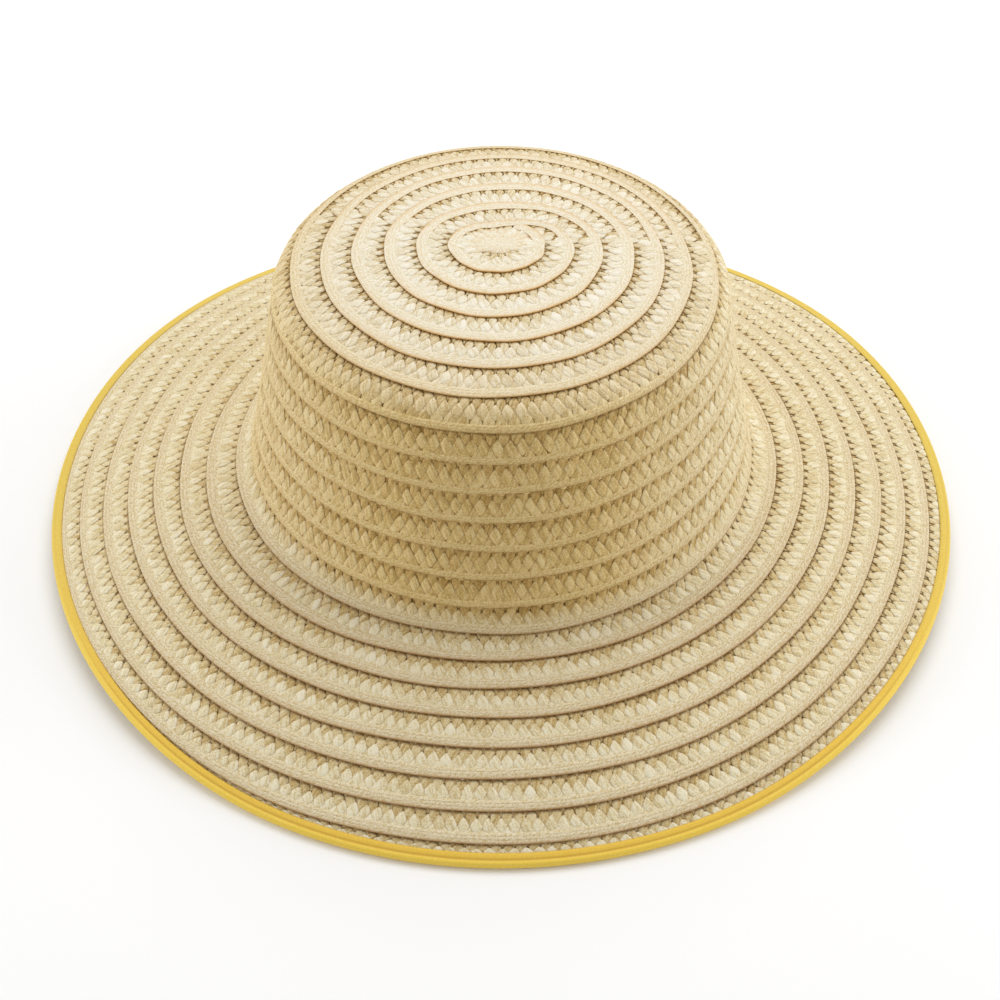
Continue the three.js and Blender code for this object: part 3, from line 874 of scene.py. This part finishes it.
# %% [markdown]
# ## The middle of the tip
# The spiral starts in a flat knot of plait that fills the first ring, with faint furrows running out from
# the middle. At the front it stops short, and the first petals come out from under it. The knot could be
# tied from strands, but at this size only its round form and the furrows show. So it is a low disc of
# rings, whose radius follows the first ring of the selvedge.

# %% Knot in the middle
KNOT_SECTION = [  # share of the radius, height in mm
    (0.0, 0.6), (0.3, 0.6), (0.55, 0.54), (0.75, 0.46), (0.9, 0.38), (0.97, 0.2), (1.0, -0.2),
]
KNOT_COLUMNS = 120
KNOT_PETALS, KNOT_RIPPLE, KNOT_FURROW_SHADE = 20, 0.14, 0.4  # furrows, their depth in mm and how much painted shade is in them
KNOT_SHADE_BELOW = 0.3  # mm: the rim is painted brown as shade below this height
KNOT_ACROSS, KNOT_FRONT, KNOT_SINES, RING_STARTS_AT = 0.635, 0.42, (0.0, 0.75), 0.75


def knot_radius(turn):
    """Radius of the knot towards a share of a turn: to the first band, and less at the front."""
    ring_turn = turn - np.where(turn < RING_STARTS_AT, 1, 2)
    share = 1 + (KNOT_FRONT - 1) * front_share(turn, KNOT_SINES)
    return share * band_distance(ring_turn, KNOT_ACROSS)


def middle_knot():
    turn = np.arange(KNOT_COLUMNS) / KNOT_COLUMNS
    angle = 2 * np.pi * turn
    radius = knot_radius(turn)
    furrow = (1 - np.cos(KNOT_PETALS * angle)) / 2
    points = [hat_points(0.0, KNOT_SECTION[0][1], 0.0)]
    places = [(0.0, 0.0, 0.0)]
    for share, height in KNOT_SECTION[1:]:
        out = share * radius
        points.extend(hat_points(out, height - KNOT_RIPPLE * share * furrow, turn))
        # painted shade in the furrows and under the rim
        brown = np.maximum(KNOT_FURROW_SHADE * share * furrow, KNOT_SHADE_BELOW - height)
        places.extend(np.stack([out * np.cos(angle), out * np.sin(angle), brown], axis=-1))
    faces = [(0, 1 + (column + 1) % KNOT_COLUMNS, 1 + column) for column in range(KNOT_COLUMNS)]
    for face in loop_faces(len(KNOT_SECTION) - 1, KNOT_COLUMNS):
        faces.append([1 + corner for corner in reversed(face)])
    faces.append(list(range(len(points) - KNOT_COLUMNS, len(points))))
    mesh = new_mesh("crown_tip_knot", np.array(points), faces, selvedge_straw)
    store(mesh, "plait_mm", places)
    finish_piece("crown_tip_knot", mesh, "crown_tip")


middle_knot()

# %% [markdown]
# ## Yellow cotton
# The binding is a woven cotton tape, matt and a little uneven from thread to thread. Along the front the
# stitches pull in a groove, with a flat lip on one side of it and a round bead on the other; there the lip
# is painted darker as shade, the bead brighter as painted light, and the groove brown as painted shade.
# Elsewhere the photo shows one plain tone, and the painting fades out. Threads could be modelled, but
# they are finer than a pixel, so a noise at the size of the threads gives the surface. The colour reads
# fold_mm, the place across the folded tape.

# %% Tape material
TAPE_THREAD = 0.5  # real threads are about 0.3 mm apart, drawn coarser so that they show
THREAD_BUMP, TAPE_ROUGHNESS = (0.3, 0.1), 0.6
TAPE_TONES = ("#e4b83a #efc848", "#eec73e #f5d458", "#dcba44 #e6ca60")  # lip in painted shade and bead in painted light at the front, and the plain tone away from it
# painted shade in the stitch groove at the front: its colour and strength
GROOVE_SHADE_TONE, GROOVE_SHADE_STRENGTH = "#b58420", 0.5
GROOVE_PLACE, GROOVE_FROM, GROOVE_TO = -1.3, 0.05, 0.45  # mm across the tape
BEAD_FROM, BEAD_TO = -1.4, -0.8
GROOVE_FADES_FROM, GROOVE_FADES_TO = -130.0, -10.0  # mm along Y: the sewn groove is deep at the front, and the painted light and shade on the tape fade out behind it


def tape_material():
    material, add, shader = new_material("woven cotton tape, yellow")
    place = add("ShaderNodeTexCoord").outputs["Object"]
    threads = add("ShaderNodeTexNoise", None, {"Vector": place, "Scale": 1 / (TAPE_THREAD * MM)})
    lip, bead, plain = tones_of(add, threads, EVEN_STOPS, TAPE_TONES)
    fold = add("ShaderNodeAttribute", {"attribute_name": "fold_mm"}).outputs["Fac"]
    y = add("ShaderNodeSeparateXYZ", None, {0: place}).outputs[1]
    fading = {0: y, 1: GROOVE_FADES_FROM * MM, 2: GROOVE_FADES_TO * MM}
    from_front = add("ShaderNodeMapRange", SOFTLY, fading)
    # at the front the lip is painted as in shade and the bead as in light
    on_bead = add("ShaderNodeMapRange", None, {0: fold, 1: BEAD_FROM, 2: BEAD_TO})
    at_front = add("ShaderNodeMix", COLOURS, {0: on_bead, 6: lip, 7: bead})
    cloth = add("ShaderNodeMix", COLOURS, {0: from_front, 6: at_front, 7: plain})
    off_groove = add("ShaderNodeMath", SUBTRACT, {0: fold, 1: GROOVE_PLACE})
    from_groove = add("ShaderNodeMath", ABSOLUTE, {0: off_groove})
    depth = {0: from_groove, 1: GROOVE_FROM, 2: GROOVE_TO, 3: GROOVE_SHADE_STRENGTH, 4: 0.0}
    in_groove = add("ShaderNodeMapRange", None, depth)
    shown = add("ShaderNodeMath", {**SUBTRACT, "use_clamp": True}, {0: in_groove, 1: from_front})
    colour = add("ShaderNodeMix", COLOURS, {0: shown, 6: cloth, 7: linear(GROOVE_SHADE_TONE)})
    finish_surface(add, shader, colour, TAPE_ROUGHNESS, height=threads, bump=THREAD_BUMP)
    return material


yellow_tape = tape_material()
print(f'material: "{yellow_tape.name}"')

# %% [markdown]
# ## The yellow binding
# A tape about 12 mm wide is folded over the cut edge and sewn down along its inner lip, so at the front
# it makes a flat lip, a stitch groove and a round bead. It lies on the table along the front and the back
# of the brim. A cloth simulation would not hold so tight a fold. So its folded section is turned round
# the edge as a ring of loops, and a Subdivision Surface rounds it.

# %% Folded tape
TAPE_ROWS = [  # mm out from the cut edge, mm above the straw's upper face
    (-3.65, 0.05), (-3.6, 0.75), (-1.65, 1.15), (-1.3, 0.92), (-1.0, 1.25), (-0.2, 1.55), (0.6, 1.2),
    (1.15, 0.5), (1.3, -0.3), (0.95, -1.5), (-0.8, -2.35), (-2.0, -1.9), (-3.6, -1.7), (-3.6, -1.15),
    (0.3, -1.15), (0.3, 0.55),
]
TAPE_COLUMNS = 160
TABLE_GAP = 0.05  # mm
GROOVE_ROW, GROOVE_FILLED, GROOVE_SINES = 3, 0.26, (-0.3, 0.6)  # the groove is filled in away from the front


def tape_points(along, above, turn):
    slope = slopes[-1]
    radius = EDGE_RADIUS + along * np.cos(slope) + above * np.sin(slope)
    height = EDGE_HEIGHT - along * np.sin(slope) + above * np.cos(slope)
    return turned(radius, np.maximum(height, TABLE_GAP), turn)


def folded_tape():
    along, above = np.array(TAPE_ROWS).T
    turn = np.arange(TAPE_COLUMNS) / TAPE_COLUMNS
    heights = np.tile(above, (TAPE_COLUMNS, 1))
    heights[:, GROOVE_ROW] += GROOVE_FILLED * (1 - front_share(turn, GROOVE_SINES))
    loops = tape_points(along[None, :], heights, turn[:, None])
    faces = loop_faces(TAPE_COLUMNS, len(TAPE_ROWS), closed=True)
    mesh = new_mesh("edge_tape", loops.reshape(-1, 3), faces, yellow_tape)
    store(mesh, "fold_mm", np.tile(along, TAPE_COLUMNS))
    piece = finish_piece("edge_tape", mesh, "edge_binding", "binding_tape")
    rounding = piece.modifiers.new("rounding", "SUBSURF")
    rounding.levels = 1
    rounding.render_levels = 1
    return piece


tape = folded_tape()

# %% [markdown]
# ## Studio
# The floor is plain and nearly white. A broad soft light hangs above and behind the hat, a little to the
# right, as the bright tip and the shaded front of the crown show. Two softboxes light the sides, and a
# pale surround fills the shadows. A sky picture could light the scene too, but with plain lights each
# one's share is easy to see. The camera looks down at about 45 degrees from 64 cm, which the brim's
# ellipse and the crown's outline give.

# %% Floor, light and camera
FLOOR_TONE, FLOOR_ROUGHNESS, FLOOR_HALF = "#fbfbfb", 0.9, 6.0  # metres
SURROUND = 0.48
LIGHTS = {  # place in metres, size in metres, watts
    "key": ((0.1, 0.6, 1.2), 1.2, 9.3),
    "right softbox": ((1.15, 0.0, 0.42), 0.8, 5.8),
    "left softbox": ((-1.15, 0.0, 0.42), 0.8, 5.2),
}
LIGHTS_AIM = (0.0, 0.0, 0.05)
IMAGE_WIDTH, FOCAL_PIXELS, SHIFT_PIXELS, SENSOR_WIDTH = 1000, 1638, -1, 36.0
CAMERA_ELEVATION, CAMERA_DISTANCE, TARGET_HEIGHT = math.radians(45.263), 640 * MM, -5.3 * MM


def studio_floor():
    material, _, shader = new_material("pale studio floor")
    shader.inputs["Base Color"].default_value = linear(FLOOR_TONE)
    shader.inputs["Roughness"].default_value = FLOOR_ROUGHNESS
    corners = [(x * FLOOR_HALF, y * FLOOR_HALF, 0.0) for x, y in ((-1, -1), (1, -1), (1, 1), (-1, 1))]
    mesh = new_mesh("floor", corners, [(0, 1, 2, 3)])
    mesh.materials.append(material)
    floor = put_in_scene(bpy.data.objects.new("floor", mesh))


def area_light(name, place, size, power):
    lamp = bpy.data.lights.new(name, "AREA")
    lamp.shape = "DISK"
    lamp.size = size
    lamp.energy = power
    light = put_in_scene(bpy.data.objects.new(name, lamp))
    light.location = place
    x, y, z = np.array(LIGHTS_AIM) - np.array(place)
    light.rotation_euler = (math.atan2(math.hypot(x, y), -z), 0.0, math.atan2(y, x) - math.pi / 2)


def studio_world():
    world = bpy.data.worlds.new("studio")
    world.use_nodes = True
    surround = world.node_tree.nodes["Background"]
    surround.inputs["Color"].default_value = linear("#ffffff")
    surround.inputs["Strength"].default_value = SURROUND
    bpy.context.scene.world = world


def photo_camera():
    lens = bpy.data.cameras.new("camera")
    lens.sensor_width = SENSOR_WIDTH
    lens.lens = FOCAL_PIXELS * SENSOR_WIDTH / IMAGE_WIDTH
    lens.shift_x = SHIFT_PIXELS / IMAGE_WIDTH
    camera = put_in_scene(bpy.data.objects.new("camera", lens))
    back = CAMERA_DISTANCE * math.cos(CAMERA_ELEVATION)
    up = CAMERA_DISTANCE * math.sin(CAMERA_ELEVATION)
    camera.location = (0.0, -back, TARGET_HEIGHT + up)
    camera.rotation_euler = (math.pi / 2 - CAMERA_ELEVATION, 0.0, 0.0)
    bpy.context.scene.camera = camera


studio_floor()
studio_world()
for name, (place, size, power) in LIGHTS.items():
    area_light(name, place, size, power)
photo_camera()
bpy.context.scene.view_settings.view_transform = "Standard"
print("camera at", [round(value, 3) for value in bpy.context.scene.camera.location])

# %% [markdown]
# ## Join the pieces to the imported model
# Every piece rides on the one body of the hat and stands for an imported solid.

# %% Ride and replace
for piece, node, slot in pieces:
    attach(piece, "root")
    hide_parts(node)
